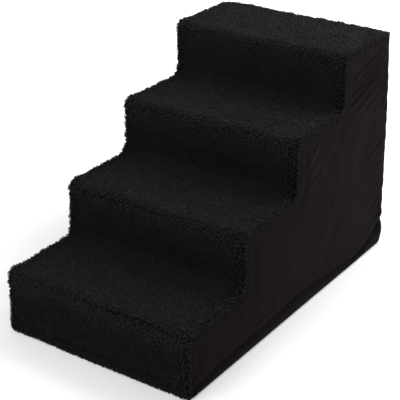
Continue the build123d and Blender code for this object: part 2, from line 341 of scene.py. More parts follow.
class Clumps:
    """Clumps of the pile: one in each cell of a jittered grid over the strip's lengths u and w"""

    def __init__(self, length, width, size, seed):
        draw = np.random.default_rng(seed)
        self.size = size
        self.shape = (int(length / size) + 4, int(width / size) + 4)
        self.jitter = draw.uniform(0.12, 0.88, size=(*self.shape, 2))
        self.shade = draw.uniform(size=self.shape)
        self.turn = draw.uniform(0, 2 * math.pi, size=self.shape)

    def nearest(self, u, w):
        """Distances to the two nearest centres, in clump sizes, and the nearest clump's shade"""
        u, w = u / self.size, w / self.size
        first, second, shade = np.full(u.shape, 9.0), np.full(u.shape, 9.0), np.zeros(u.shape)
        for du in range(3):
            for dw in range(3):
                i = (u.astype(int) + du).clip(0, self.shape[0] - 1)
                j = (w.astype(int) + dw).clip(0, self.shape[1] - 1)
                jitter = self.jitter[i, j]
                gap = np.hypot(u - (i - 1 + jitter[..., 0]), w - (j - 1 + jitter[..., 1]))
                closer = gap < first
                second = np.where(closer, first, np.minimum(second, gap))
                shade = np.where(closer, self.shade[i, j], shade)
                first = np.minimum(first, gap)
        return first, second, shade


def nose_lengths(along, places):
    """Lengths along the strip of the middles of the four noses"""
    return [
        along[np.hypot(places[:, 0] - risers[step], places[:, 1] - treads[step]).argmin()]
        for step in range(STEPS)
    ]


def parting(u, w, width, noses):
    """How deep the parted lines of the pile are, 0 to 1, along the noses of the lower steps"""
    depth = np.zeros(u.shape)
    across = spots(w, 0, 0)
    for nose, start_share, end_share, start_drop, end_drop, seed in PARTED_LINES:
        run = (w / width - start_share) / (end_share - start_share)
        line = noses[nose] - (start_drop + (end_drop - start_drop) * run)
        line = line + waves(across, 2.6, 28, seed)
        broken = ramp(smooth_noise(across, 16 * MM, seed + 5), -1.0, -0.2)
        ends = ramp(run, -0.02, 0.08) * (1 - ramp(run, 0.9, 1.02)) * broken
        depth = np.maximum(depth, bell(u, line, PARTED_HALF_WIDTH) * ends)
    return depth


def opening(u, w, length, width, noses, grid):
    """How far the pile opens between its clumps, 0 to 1: most at the edges, less at the noses"""
    sides = 1 - fade(np.minimum(w, width - w), 9, 44)
    sides = np.maximum(sides, 1 - fade(length - u, 12, 30))
    lowest = 0.2 * (1 - fade(u - noses[0], 0, 20))
    bends = [most * bell(u, nose - 8 * MM, 19 * MM) for nose, most in zip(noses, NOSE_OPENING)]
    uneven = 0.5 + 0.5 * smooth_noise(grid, 55 * MM, 12)
    patches = 0.14 + 0.18 * uneven + lowest
    bent = np.max(bends, axis=0) * (0.55 + 0.45 * uneven)
    return np.clip(patches + 0.8 * sides + 0.8 * bent, 0, 1)


def painted_light_and_shade(u, noses):
    """Painted light and shade of the pile: lighter over the noses, darker low on the risers"""
    light = [bell(u, nose - 14 * MM, 17 * MM) for nose in noses]
    painted_shade = [most * bell(u, nose - 76 * MM, 34 * MM) for nose, most in zip(noses, RISER_PAINTED_SHADE)]
    return 1 + 0.22 * np.max(light, axis=0) - 0.18 * np.max(painted_shade, axis=0)


def plush_form(grid, u, w, length, width, noses, opened):
    """Soft unevenness of the strip over the foam, outwards"""
    soft = waves(grid, 1.3, 110, 11)
    small = waves(grid, 0.6, 38, 13)
    lumps = waves(grid, 1.3, 14, 15) * opened
    edge, share = np.minimum(w, width - w), w / width
    roll = 1.9 * MM * bell(edge, 8 * MM, 8 * MM)
    nose_puff = 2.2 * MM * np.max([bell(u, nose, 24 * MM) for nose in noses], axis=0)
    reach = ramp(share, 0.02, 0.16) * (1 - ramp(share, 0.8, 0.97))
    line = 27 * MM + waves(spots(w, 0, 0), 3, 70, 14)
    tuck = -5.2 * MM * bell(u, line, 8 * MM) * reach
    hem = 2.8 * MM * bell(u, 15 * MM, 7 * MM) * (0.4 + 0.6 * reach)
    back_dip = -1.6 * MM * ramp(share, 0.45, 0.9) * (1 - fade(length - u, 15, 60))
    corner = -4.0 * MM * (1 - fade(edge, 6, 24)) * (1 - fade(length - u, 16, 38))
    return soft + small + lumps + roll + nose_puff + tuck + hem + back_dip + corner


def plush_strip(material):
    """The knitted backing of the plush with its clumps, and the curls that stand on it"""
    grid, facing, along, across = plush_surface()
    u, w = np.meshgrid(along, across, indexing="ij")
    length, width = along[-1], across[-1]
    noses = nose_lengths(along, grid[:, len(across) // 2, 1:])
    warp = [waves(grid, 2.0, 17, seed) for seed in (3, 4)]
    pile = Clumps(length, width, CLUMP_SIZE, 5)
    first, second, shade = pile.nearest(u + warp[0], w + warp[1])
    dome = np.clip((second - first) / 0.5, 0, 1) ** 0.7
    parted = parting(u, w, width, noses)
    opened = opening(u, w, length, width, noses, grid)
    form = plush_form(grid, u, w, length, width, noses, opened)
    pile_height = CLUMP_HEIGHT * (0.3 + 0.7 * opened) * (dome * (0.6 + 0.4 * shade) - 0.6)
    lift = pile_height - PARTED_DEPTH * parted
    edge = np.minimum(np.minimum(u, length - u), np.minimum(w, width - w))
    # The inward moves stop before the foam
    moved = np.maximum(lift + form, -0.85 * plush_build) * fade(edge, 0, 5)
    places = grid + facing * moved[:, :, None]
    keep_over_floor(places)
    piece = mesh_object("plush_strip", places, grid_faces(*u.shape))
    # Painted shade between the clumps where the pile opens and in the parted lines, times the
    # painted light over the noses and the painted shade low on the risers
    painted_shade = opened * (1 - dome * (0.5 + 0.5 * shade))
    light = (0.8 - 0.8 * painted_shade) * (1 - 0.7 * parted) * painted_light_and_shade(u, noses)
    add_shade(piece, light.ravel())
    add_map(piece, w / width, u / length)
    dress(piece, material, replaces=["step_panel"])
    surface = (grid, facing, form, opened, along, across, noses)
    curls = [plush_curls(part, material, pile, surface) for part in range(STEPS)]


def keep_over_floor(places):
    """Lifts the strip at its two low front corners, and wherever it would pass the floor"""
    gap, z = floor_half_width - np.abs(places[..., 0]), places[..., 2]
    lift = 4.5 * MM * (1 - fade(gap, 0, 26)) * (1 - fade(z, 4, 30))
    places[..., 2] = np.maximum(z + lift, 0.3 * MM)


def plush_curls(part, material, pile, surface):
    """Curls over a quarter of the strip, each a short bent tube that stands on a clump"""
    grid, facing, form, opened, along, across, noses = surface
    length, width = along[-1], across[-1]
    draw = np.random.default_rng(100 + part)
    i, j = np.meshgrid(np.arange(pile.shape[0]), np.arange(pile.shape[1]), indexing="ij")
    u = ((i - 1 + pile.jitter[:, :, 0]) * pile.size).ravel()
    w = ((j - 1 + pile.jitter[:, :, 1]) * pile.size).ravel()
    inside = np.minimum(u, length - u) > 3 * MM
    inside &= np.minimum(w, width - w) > 1.2 * MM
    inside &= parting(u, w, width, noses) < 0.7
    inside &= (u >= length * part / STEPS) & (u < length * (part + 1) / STEPS)
    values = u, w, pile.shade.ravel(), pile.turn.ravel()
    u, w, shade, turn = (value[inside] for value in values)
    count = len(u)

    row = np.clip(u / along[1], 0, len(along) - 1.001)
    column = np.clip(w / across[1], 0, len(across) - 1.001)
    r0, c0 = row.astype(int), column.astype(int)
    fr, fc = (row - r0)[:, None], (column - c0)[:, None]

    def at_feet(values):
        return (
            values[r0, c0] * (1 - fr) * (1 - fc)
            + values[r0 + 1, c0] * fr * (1 - fc)
            + values[r0, c0 + 1] * (1 - fr) * fc
            + values[r0 + 1, c0 + 1] * fr * fc
        )

    def drawn(low, high):
        return draw.uniform(low, high, count)[:, None]

    lift, loose = at_feet(form[:, :, None]), at_feet(opened[:, :, None])
    normal = unit(at_feet(facing))
    ahead = grid[r0 + 1, c0] - grid[r0, c0]
    ahead = unit(ahead - normal * (ahead * normal).sum(1)[:, None])
    aside = np.cross(normal, ahead)
    way = ahead * np.cos(turn)[:, None] + aside * np.sin(turn)[:, None]
    over = np.cross(normal, way)
    lean = drawn(0.35, 1.25)
    rise = normal * np.cos(lean) + over * np.sin(lean)
    bore = np.cross(way, rise)
    radius = drawn(1.7, 2.5) * MM * (0.95 + 0.3 * loose)
    thick = drawn(0.95, 1.3) * MM
    above = lift + 0.6 * MM * loose + 0.5 * MM * (shade[:, None] - 0.5)
    centre = at_feet(grid) + normal * above
    first_angle, sweep = drawn(-0.9, -0.2), drawn(3.4, 4.9)
    shares = np.arange(CURL_POINTS) / (CURL_POINTS - 1)
    rings = []
    for share in shares:
        angle = first_angle + sweep * share
        outward = way * np.cos(angle) + rise * np.sin(angle)
        core = centre + outward * radius * (1 - 0.35 * share) + bore * (share - 0.5) * 1.6 * MM
        tube = thick * (0.45 + 0.55 * math.sin(math.pi * (0.12 + 0.76 * share)))
        rings += tube_ring(core, outward, bore, tube, CURL_SIDES)
    places = np.stack(rings, 1)
    keep_over_floor(places)
    name = f"plush_curls_{part + 1}"
    piece = mesh_object(name, places, tube_faces(count, CURL_POINTS, CURL_SIDES))

    each = CURL_POINTS * CURL_SIDES
    shares = np.tile(np.repeat(shares, CURL_SIDES), count)
    own = np.repeat(0.5 + 0.5 * shade, each)
    spread = np.repeat(loose[:, 0], each)
    # Painted shade at the feet of each curl, and painted highlights on the tips where the pile
    # opens
    painted_shade = (0.22 + 0.5 * spread) * (1 - np.sin(math.pi * shares) * own)
    add_shade(piece, (0.84 + 0.36 * spread - painted_shade) * np.repeat(painted_light_and_shade(u, noses), each))
    across_cells = int(math.ceil(math.sqrt(count)))
    cell = np.repeat(np.arange(count), each)
    sides = np.tile(np.arange(CURL_SIDES) / CURL_SIDES, CURL_POINTS * count)
    add_map(
        piece,
        (cell % across_cells + 0.15 + 0.7 * shares) / across_cells,
        (cell // across_cells + 0.15 + 0.7 * sides) / across_cells,
    )
    return dress(piece, material)


# Suede-look sides. Places on a side are (y, s), where s runs up the side from the floor.

# Folds of the cloth: from (y, z) to (y, z) in shares of the depth and height, then height and half
# width in mm
SIDE_FOLDS = (
    (0.99, 0.955, 0.78, 0.868, 3.6, 5),
    (0.985, 0.897, 0.755, 0.795, 4, 5.2),
    (0.985, 0.848, 0.77, 0.756, 3.3, 5),
    (0.985, 0.798, 0.83, 0.73, 2.6, 5.2),
    (0.985, 0.745, 0.86, 0.702, 1.5, 5),
    (0.99, 0.697, 0.89, 0.662, 1.4, 5),
    (0.99, 0.625, 0.905, 0.592, 0.9, 4.8),
    (0.988, 0.556, 0.87, 0.514, 1.4, 5),
    (0.99, 0.513, 0.89, 0.468, 1.5, 5),
    (0.992, 0.425, 0.925, 0.383, 1, 5),
    (0.995, 0.353, 0.935, 0.296, 1.2, 5),
    (0.99, 0.262, 0.905, 0.165, 1.4, 5.5),
    (0.738, 0.8, 0.69, 0.69, 0.7, 5),
    (0.672, 0.713, 0.636, 0.66, 0.7, 5),
    (0.62, 0.706, 0.53, 0.6, 1.1, 7),
    (0.621, 0.612, 0.52, 0.57, 0.9, 7),
    (0.655, 0.57, 0.53, 0.52, 0.8, 7),
    (0.765, 0.217, 0.625, 0.176, 0.8, 7),
    (0.507, 0.228, 0.398, 0.206, 0.7, 7),
    (0.339, 0.13, 0.205, 0.11, 0.7, 7),
)


def gap_to(points, outline):
    """Distance from each point to a closed outline, and whether the point is inside it"""
    start, end = outline, np.roll(outline, -1, axis=0)
    edge = end - start

    def measured(some):
        offset = some[:, None, :] - start
        along = np.clip((offset * edge).sum(2) / (edge * edge).sum(1), 0, 1)
        gap = np.linalg.norm(offset - along[:, :, None] * edge, axis=2).min(1)
        crosses = (start[:, 1] > some[:, 1:2]) != (end[:, 1] > some[:, 1:2])
        with np.errstate(divide="ignore", invalid="ignore"):
            meets = start[:, 0] + (some[:, 1:2] - start[:, 1]) * edge[:, 0] / edge[:, 1]
        within = (crosses & (some[:, 0:1] < meets)).sum(1) % 2
        return np.stack([gap, within], 1)

    gap, within = in_chunks(measured, points).T
    return gap, within == 1


def even_outline(corners, spacing):
    """Even points round a closed outline with straight sides"""
    corners = [np.array(corner, float) for corner in corners]
    points = []
    for start, end in zip(corners, corners[1:] + corners[:1]):
        count = max(int(round(np.linalg.norm(end - start) / spacing)), 1)
        points += [start + (end - start) * k / count for k in range(count)]
    return np.array(points)


def sheet_mesh(outline, spacing, rings):
    """Points and triangles that fill an outline: rings of points near its edge, then even points"""
    before, after = np.roll(outline, 1, axis=0), np.roll(outline, -1, axis=0)
    x, y = outline[:, 0], outline[:, 1]
    turns = 1 if (x * after[:, 1] - y * after[:, 0]).sum() > 0 else -1
    normals = [unit(edge[:, ::-1] * (-1, 1)) for edge in (outline - before, after - outline)]
    inward = normals[0] + normals[1]
    inward *= turns / np.maximum((inward * normals[0]).sum(1), 0.3)[:, None]
    layers = [outline]
    for distance in rings:
        ring = outline + inward * distance
        gap, within = gap_to(ring, outline)
        layers.append(ring[within & (gap > 0.93 * distance)])
    low, high = outline.min(0), outline.max(0)
    rows = int((high[1] - low[1]) / (spacing * TRIANGLE_SHARE)) + 1
    columns = int((high[0] - low[0]) / spacing) + 1
    row, column = np.meshgrid(np.arange(rows), np.arange(columns), indexing="ij")
    even = np.stack([column + 0.5 * (row % 2), row * TRIANGLE_SHARE], 2).reshape(-1, 2)
    even = even * spacing + low
    gap, within = gap_to(even, outline)
    layers.append(even[within & (gap > max(rings) + 0.6 * spacing)])
    points = [Vector(point) for point in np.concatenate(layers)]
    loop = [(k, (k + 1) % len(outline)) for k in range(len(outline))]
    found = delaunay_2d_cdt(points, loop, [], 1, 1e-7)
    return np.array([tuple(place) for place in found[0]]), np.array(found[2])


def fold_under(s, radius):
    """For a length s from a rounded edge: its distance from the edge, and how far it turned in"""
    angle = np.clip((radius - s) / radius, 0, math.pi / 2)
    beyond = np.clip(radius - s - radius * math.pi / 2, 0, None)
    place = np.where(s >= radius, s, radius - radius * np.sin(angle))
    return place, radius * (1 - np.cos(angle)) + beyond


def rounded_off(gap, radius):
    """How far a rounded edge or corner of this radius has drawn in, at a distance from its end"""
    rest = np.clip(radius - gap, 0, radius)
    return radius - np.sqrt(np.maximum(radius * radius - rest * rest, 0))


def fold_field(folds, a, b, first_a, span_a):
    """How far folds stand out at the places a, b of a side or the back, where b is the height"""
    total = np.zeros(len(a))
    wander = waves(spots(a, b, 0), 1.6, 45, 31)
    for a0, b0, a1, b1, tall, half in folds:
        start = np.array([first_a + a0 * span_a, b0 * height])
        end = np.array([first_a + a1 * span_a, b1 * height])
        length = np.linalg.norm(end - start)
        way = (end - start) / length
        along = ((a - start[0]) * way[0] + (b - start[1]) * way[1]) / length
        off = (a - start[0]) * -way[1] + (b - start[1]) * way[0] + wander
        width = half * MM * (0.75 + 0.25 * np.clip(along, 0, 1))
        ends = ramp(along, -0.12, 0.25) * (1 - ramp(along, 0.6, 1.15))
        total += tall * MM * (bell(off, 0, width) - 0.5 * bell(off, 1.8 * width, width)) * ends
    return total


def streaks(y, z):
    """Fine drawn lines of the cloth, which fall from the back towards the front"""
    angle = math.radians(24)
    along = (y * math.cos(angle) + z * math.sin(angle)) / 9
    across = z * math.cos(angle) - y * math.sin(angle)
    return smooth_noise(spots(along, across, 0), 7 * MM, 44)


def low_line(y):
    """Height of the crease low on a side"""
    shares, heights = np.array(SIDE_CREASE).T
    wander = waves(spots(y, 0, 0), 1.5, 50, 45)
    return np.interp((y - front) / (back - front), shares, heights) * MM + wander


def low_shade(y, z):
    """Painted shade of a side's nap: dark in the low crease and in a band along the floor"""
    line = low_line(y)
    # Painted shade in a band along the floor
    painted_floor_shade = 1 - ramp(z, 0.2 * line, 0.9 * line)
    return np.clip(1 - 0.5 * bell(z, line, 6 * MM) - 0.35 * painted_floor_shade, 0.3, 1)


def low_form(y, z):
    """The soft crease low on a side, with a ridge over it and a roll under it"""
    line = low_line(y)
    strength = 0.75 + 0.25 * smooth_noise(spots(y, 0, 0), 90 * MM, 46)
    crease = -2.6 * MM * bell(z, line, 7 * MM)
    ridge = 1.2 * MM * bell(z, line + 16 * MM, 10 * MM)
    middle = 0.5 * line
    under = np.sqrt(np.clip(1 - (np.minimum(z - middle, 0) / middle) ** 2, 0, 1))
    roll = 3.4 * MM * under * bell(np.maximum(z, middle), middle, 0.35 * line)
    return (crease + ridge) * strength + roll


def side_outline():
    """Edge of a side panel, on a side's (y, s): under the plush at the top, past the other edges"""
    inset = plush_build - SEAM_OVERLAP
    path = rounded_path(*stair_corners(inset, back + SIDE_WRAP), CLOTH_SPACING)[1]
    rest = even_outline(
        [path[-1], (back + SIDE_WRAP, -FLOOR_WRAP), (front + inset, -FLOOR_WRAP), path[0]],
        CLOTH_SPACING,
    )
    closing = int(round(np.linalg.norm(path[0] - path[-1]) / CLOTH_SPACING))
    return np.concatenate([path, rest[1:-closing]])


def seam_gaps(flat):
    """Distance from places on a side to its seam with the plush"""
    seam = rounded_path(*stair_corners(plush_build, back), SEAM_SPACING)[1]
    return in_chunks(lambda some: np.linalg.norm(some[:, None, :] - seam, axis=2).min(1), flat)


def side_form(y, z, seam_gap, side):
    """How far the cloth of a side stands out over the foam: seam, folds, waves and low crease"""
    points = spots(y, z, side * 0.2)
    from_edge = back - y
    puff = 0.7 * MM * bell(seam_gap, 14 * MM, 10 * MM)
    dip = 0.5 * MM * bell(seam_gap, 0, 4 * MM) - 0.3 * MM * bell(seam_gap, 27 * MM, 4 * MM)
    pucker = waves(points, 0.5, 11, 41) * np.exp(-seam_gap / (12 * MM))
    inner = fade(seam_gap, 2, 30) * fade(z, 5, 40) * fade(from_edge, 4, 30)
    wave = waves(points, 1.4, 130, 42) * inner
    small = waves(points, 0.5, 38, 43) * inner
    near_back = np.exp(-from_edge / (90 * MM)) * ramp(z, 0.3 * height, 0.9 * height)
    fine = (0.16 + 0.3 * near_back) * MM * streaks(y, z) * fade(seam_gap, 6, 26)
    folds = fold_field(SIDE_FOLDS, y, z, front, back - front)
    keep = fade(from_edge, 1, 14) * fade(z, 1, 10)
    edge_waves = waves(spots(z, side * 0.1, 0), 1.1, 19, 47) * np.exp(-from_edge / (16 * MM))
    bulge = 3.2 * MM * np.sin(math.pi * np.clip(z / height, 0, 1) ** 0.8) + 0.8 * MM
    filled = (bulge + edge_waves) * fade(seam_gap, 0, 60) * fade(z, 0, 30)
    low = low_form(y, z) * fade(seam_gap, 2, 16)
    return (puff + wave + small + fine + folds + pucker) * keep + dip + filled + low


def side_panel(name, side, material, cut_out):
    """A side panel from its flat cut-out; side is -1 on the left and 1 on the right"""
    flat, faces = cut_out
    y, s = flat[:, 0], flat[:, 1]
    z, turned = fold_under(s, CLOTH_FOLD_RADIUS)
    from_back, turned_back = fold_under(back - BACK_GAP - y, CLOTH_FOLD_RADIUS)
    out = side_form(y, z, seam_gaps(flat), side)
    x = half_width(z) - side_recess + out - turned - turned_back
    under = 1 * MM * fade(turned_back - CLOTH_FOLD_RADIUS, 0, 2)
    y_place = back - BACK_GAP - from_back - under
    lift = rounded_off(back - y_place + turned, CORNER_RADIUS) * (1 - fade(z, 8, 30))
    places = spots(side * x, y_place, z + lift + FLOOR_GAP)
    piece = mesh_object(name, places, faces if side > 0 else faces[:, ::-1])
    add_map(piece, (y - y.min()) / np.ptp(y), (s - s.min()) / np.ptp(y))
    add_shade(piece, low_shade(y, z))
    dress(piece, material, replaces=[name])


def side_panels(material):
    cut_out = sheet_mesh(side_outline(), CLOTH_SPACING, SIDE_RINGS)
    side_panel("side_panel_left", -1, material, cut_out)
    side_panel("side_panel_right", 1, material, cut_out)


# Back of the cover. Places on the back are (x, z).

# Folds of the back, as in SIDE_FOLDS, but with (x, z) in shares of the floor's width and the height
BACK_FOLDS = (
    (0.02, 0.965, 0.27, 0.84, 1.6, 6),
    (0.02, 0.9, 0.2, 0.79, 1.2, 6),
    (0.98, 0.95, 0.72, 0.85, 1.5, 6),
    (0.98, 0.6, 0.84, 0.555, 1, 6.5),
    (0.02, 0.52, 0.17, 0.47, 1, 6.5),
    (0.03, 0.27, 0.22, 0.135, 1.4, 6.5),
    (0.97, 0.29, 0.76, 0.14, 1.3, 6.5),
    (0.33, 0.11, 0.36, 0.27, 0.9, 7),
    (0.55, 0.11, 0.54, 0.33, 0.9, 7),
    (0.69, 0.11, 0.71, 0.25, 0.8, 7),
)


def back_form(x, z, gap, zip_edge, low):
    """How far a cloth of the back stands out: waves, folds, and what seams and stitches draw in"""
    points = spots(x, 0.1, z)
    from_zip = np.abs(z - zip_edge)
    inner = fade(gap, 2, 40)
    wave = waves(points, 1.5, 150, 51) * inner
    small = waves(points, 0.4, 45, 52) * inner
    pucker = waves(points, 0.4, 12, 53) * np.exp(-gap / (11 * MM)) * fade(gap, 0, 2)
    gather = waves(spots(x, 0, 0), 0.55, 9, 54 + low) * bell(from_zip, 7 * MM, 6 * MM)
    sewn = 0.45 * MM * bell(from_zip, STITCH_INSET, 1.1 * MM)
    folds = fold_field(BACK_FOLDS, x, z, -floor_half_width, 2 * floor_half_width)
    drawn = waves(spots(x, 0, z / 9), 0.2, 8, 55) * inner
    drawn_in = sewn + rounded_off(gap, BACK_EDGE_RADIUS)
    return wave + small + pucker + gather + folds * fade(gap, 3, 16) + drawn - drawn_in


def back_cloth(name, low_z, high_z, material, thread):
    """One cloth of the back, which is low when it lies under the zip, with its row of stitches"""
    low = name == "back_strip"
    edge = side_recess + CLOTH_FOLD_RADIUS
    corners = [
        (side * (half_width(z) - edge), z)
        for side, z in ((-1, low_z), (1, low_z), (1, high_z), (-1, high_z))
    ]
    flat, faces = sheet_mesh(even_outline(corners, BACK_SPACING), BACK_SPACING, BACK_RINGS)
    x, z = flat[:, 0], flat[:, 1]
    zip_edge = strip_top if low else panel_bottom
    out = back_form(x, z, gap_to(flat, np.array(corners))[0], zip_edge, low)
    from_side = np.maximum(half_width(z) - side_recess - np.abs(x), 0)
    lift = rounded_off(from_side, CORNER_RADIUS) * (1 - fade(z, 6, 24))
    piece = mesh_object(name, spots(x, back - 0.25 * MM + out, z + lift), faces[:, ::-1])
    width, tall = np.ptp(x), np.ptp(z)
    add_map(piece, (x - x.min()) / width, (z - z.min()) / width)
    # Painted shade: darker over the lowest 16 mm, towards the floor, as along the sides
    add_shade(piece, 1 - 0.3 * (1 - fade(z, 2, 16)))
    dress(piece, material, replaces=[name])
    row_z = zip_edge + (-STITCH_INSET if low else STITCH_INSET)
    half = half_width(row_z) - side_recess - 5 * MM
    stitches = stitch_row(f"stitches_{name}", half, row_z, back - BACK_GAP, thread)


def stitch_row(name, half, z, y, thread):
    """A row of stitches along X, each a small bent thread that dips into the cloth at both ends"""
    count = int(2 * half / STITCH_PITCH)
    start = -count * STITCH_PITCH / 2
    draw = np.random.default_rng(61)
    out, up = np.array([0, 1, 0]), np.array([0, 0, 1])
    rings = []
    for number in range(count):
        middle = start + (number + 0.5) * STITCH_PITCH + draw.uniform(-0.15, 0.15) * MM
        tilt = draw.uniform(-0.12, 0.12)
        for place in np.linspace(-1, 1, STITCH_RINGS):
            reach = place * STITCH_LENGTH / 2
            radius = STITCH_RADIUS * (1 - 0.35 * place**4)
            depth = y + 0.12 * MM - 0.75 * MM * place**4
            core = np.array([middle + reach, depth, z + tilt * reach])
            rings += tube_ring(core, out, up, radius, STITCH_SIDES)
    faces = tube_faces(count, STITCH_RINGS, STITCH_SIDES)
    return dress(mesh_object(name, rings, faces), thread)


# Zip and base


def zip_tape(name, cloth):
    """A woven tape with a rolled edge at the teeth, a little wavy away from them"""
    low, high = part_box(name)
    upper = name == "zip_tape_upper"
    inner, away = (low.z, 1) if upper else (high.z, -1)
    span, length = high.z - low.z, high.x - low.x
    along = np.linspace(low.x, high.x, 361)[:, None]
    share = np.concatenate([np.linspace(0, 0.16, 6), np.linspace(0.2, 1, 15)])
    start = np.where(np.abs(along) < ZIP_HALF_LENGTH, ZIP_NOTCH, 0.0)
    run = start + (span - start) * share
    x, z = np.broadcast_to(along, run.shape), inner + away * run
    wave = waves(spots(x, 0, z), 0.15, 22, 71) * fade(run, 4, 12)
    bead = 0.12 * MM * bell(run - start, 0.7 * MM, 0.6 * MM)
    y = high.y + wave + bead - 0.25 * MM * (1 - fade(run - start, 0, 0.5))
    y = np.minimum(y, high.y + 0.12 * MM)
    faces = grid_faces(*run.shape)
    piece = mesh_object(name, spots(x, y, z), faces if upper else faces[:, ::-1])
    add_map(piece, (x - low.x) / length, run / length)
    dress(piece, cloth, replaces=[name])


def hanging_domes(centres, radius, tall, sides):
    """Vertices and faces of small round domes that hang down from their centres"""
    levels = ((1.0, 0.0), (0.92, 0.55), (0.55, 0.93))
    angle = 2 * math.pi * np.arange(sides) / sides
    around = [
        spots(radius * wide * np.cos(angle), radius * wide * np.sin(angle), -tall * high)
        for wide, high in levels
    ]
    dome = np.concatenate([*around, [(0, 0, -tall)]])
    quads = tube_faces(1, len(levels), sides)[:, ::-1]
    side, tip = np.arange(sides), len(dome) - 1
    cap = spots(tip, tip - sides + (side + 1) % sides, tip - sides + side)
    faces = np.concatenate([quads[:, :3], quads[:, (0, 2, 3)], cap])
    faces = faces + np.arange(len(centres))[:, None, None] * len(dome)
    return centres[:, None, :] + dome, faces.reshape(-1, 3)


def base_pieces(cloth, rubber):
    """The base cloth and its rubber dots, which stand on the floor"""
    low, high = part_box("base_panel")
    width, length = high.x - low.x, high.y - low.y
    corners = [(low.x, low.y), (high.x, low.y), (high.x, high.y), (low.x, high.y)]
    flat, faces = sheet_mesh(even_outline(corners, BASE_SPACING), BASE_SPACING, BASE_RINGS)
    x, y = flat[:, 0], flat[:, 1]
    gap = gap_to(flat, np.array(corners))[0]
    z = 0.9 * MM + waves(spots(x, y, 0), 0.3, 60, 61) * fade(gap, 0, 20)
    piece = mesh_object("base_cloth", spots(x, y, z), faces[:, ::-1])
    add_map(piece, (x - low.x) / length, (y - low.y) / length)
    dress(piece, cloth, replaces=["base_panel"])
    row, column = np.meshgrid(np.arange(DOT_ROWS), np.arange(DOT_COLUMNS), indexing="ij")
    pitch_x = (width - 2 * DOT_INSET) / (DOT_COLUMNS - 0.5)
    pitch_y = (length - 2 * DOT_INSET) / (DOT_ROWS - 1)
    dot_x = low.x + DOT_INSET + (column + 0.5 * (row % 2)) * pitch_x
    centres = spots(dot_x, low.y + DOT_INSET + row * pitch_y, DOT_HEIGHT).reshape(-1, 3)
    domes = hanging_domes(centres, DOT_RADIUS, DOT_HEIGHT, DOT_SIDES)
    dots = dress(mesh_object("base_dots", *domes), rubber)


# Materials


def feed(tree, node, inputs):
    """Gives a node's inputs their values, or joins them to other nodes' outputs"""
    for name, value in inputs.items():
        if isinstance(value, bpy.types.NodeSocket):
            tree.links.new(value, node.inputs[name])
        else:
            node.inputs[name].default_value = value


def add_node(tree, kind, inputs, operation=None):
    node = tree.nodes.new(kind)
    if operation:
        node.operation = operation
    feed(tree, node, inputs)
    return node


class Material:
    """A new material, with short ways to add and join its nodes"""

    def __init__(self, name, color, roughness, sheen, specular, sheen_tint=(1, 1, 1)):
        self.data = bpy.data.materials.new(name)
        self.data.use_nodes = True
        self.tree = self.data.node_tree
        inputs = {"Base Color": (*color, 1), "Roughness": roughness}
        inputs |= {"Specular IOR Level": specular, "Sheen Weight": sheen}
        self.feed({**inputs, "Sheen Tint": (*sheen_tint, 1)})
        self.place = self.add("ShaderNodeTexCoord", {}).outputs["Object"]

    def feed(self, inputs):
        """Sets or joins inputs of the surface"""
        feed(self.tree, self.tree.nodes["Principled BSDF"], inputs)

    def add(self, kind, inputs, operation=None):
        return add_node(self.tree, kind, inputs, operation)

    def moved(self, scale, turn=(0, 0, 0)):
        """The object's coordinates, turned and scaled"""
        inputs = {"Vector": self.place, "Scale": scale, "Rotation": turn}
        return self.add("ShaderNodeMapping", inputs).outputs["Vector"]

    def noise(self, scale, detail=3.0, rough=0.5, vector=None):
        inputs = {"Scale": scale, "Detail": detail, "Roughness": rough}
        inputs["Vector"] = vector or self.place
        return self.add("ShaderNodeTexNoise", inputs).outputs["Fac"]

    def cells(self, scale):
        inputs = {"Vector": self.place, "Scale": scale}
        return self.add("ShaderNodeTexVoronoi", inputs).outputs["Distance"]

    def wave(self, scale, axis, distortion, vector=None):
        inputs = {"Scale": scale, "Distortion": distortion, "Detail": 1, "Detail Scale": 2}
        inputs["Vector"] = vector or self.place
        node = self.add("ShaderNodeTexWave", inputs)
        node.bands_direction = axis
        return node.outputs["Fac"]

    def shade(self):
        """The lightness that a mesh stores for its vertices"""
        node = self.add("ShaderNodeAttribute", {})
        node.attribute_name = "shade"
        return node.outputs["Fac"]

    def math(self, operation, first, second):
        return self.add("ShaderNodeMath", {0: first, 1: second}, operation).outputs["Value"]

    def mixed(self, first, share, second):
        """Two outputs added up, the first with this share and the second with the rest"""
        parts = self.math("MULTIPLY", first, share), self.math("MULTIPLY", second, 1 - share)
        return self.math("ADD", *parts)

    def colors(self, factor, *stops):
        """Colour ramp of (place, colour) stops"""
        node = self.add("ShaderNodeValToRGB", {"Fac": factor})
        elements = node.color_ramp.elements
        elements[0].position, elements[1].position = stops[0][0], stops[-1][0]
        elements[0].color, elements[1].color = (*stops[0][1], 1), (*stops[-1][1], 1)
        for place, color in stops[1:-1]:
            elements.new(place).color = (*color, 1)
        return node.outputs["Color"]

    def numbers(self, factor, low, high, from_low=0.0, from_high=1.0):
        """A factor moved from one range of numbers to another"""
        inputs = {"Value": factor, "To Min": low, "To Max": high}
        inputs |= {"From Min": from_low, "From Max": from_high}
        return self.add("ShaderNodeMapRange", inputs).outputs["Result"]

    def tinted(self, color, factor, low, high):
        """A colour made darker and lighter by a factor"""
        inputs = {0: color, "Scale": self.numbers(factor, low, high, 0.3, 0.7)}
        return self.add("ShaderNodeVectorMath", inputs, "SCALE").outputs["Vector"]

    def bump(self, *layers):
        """Bump from (height, distance in metres) layers, one over the other"""
        below = {}
        for layer, distance in layers:
            node = self.add("ShaderNodeBump", {"Distance": distance, "Height": layer, **below})
            below = {"Normal": node.outputs["Normal"]}
        self.feed(below)

    def color(self, output):
        self.feed({"Base Color": output})

    def roughness(self, output):
        self.feed({"Roughness": output})


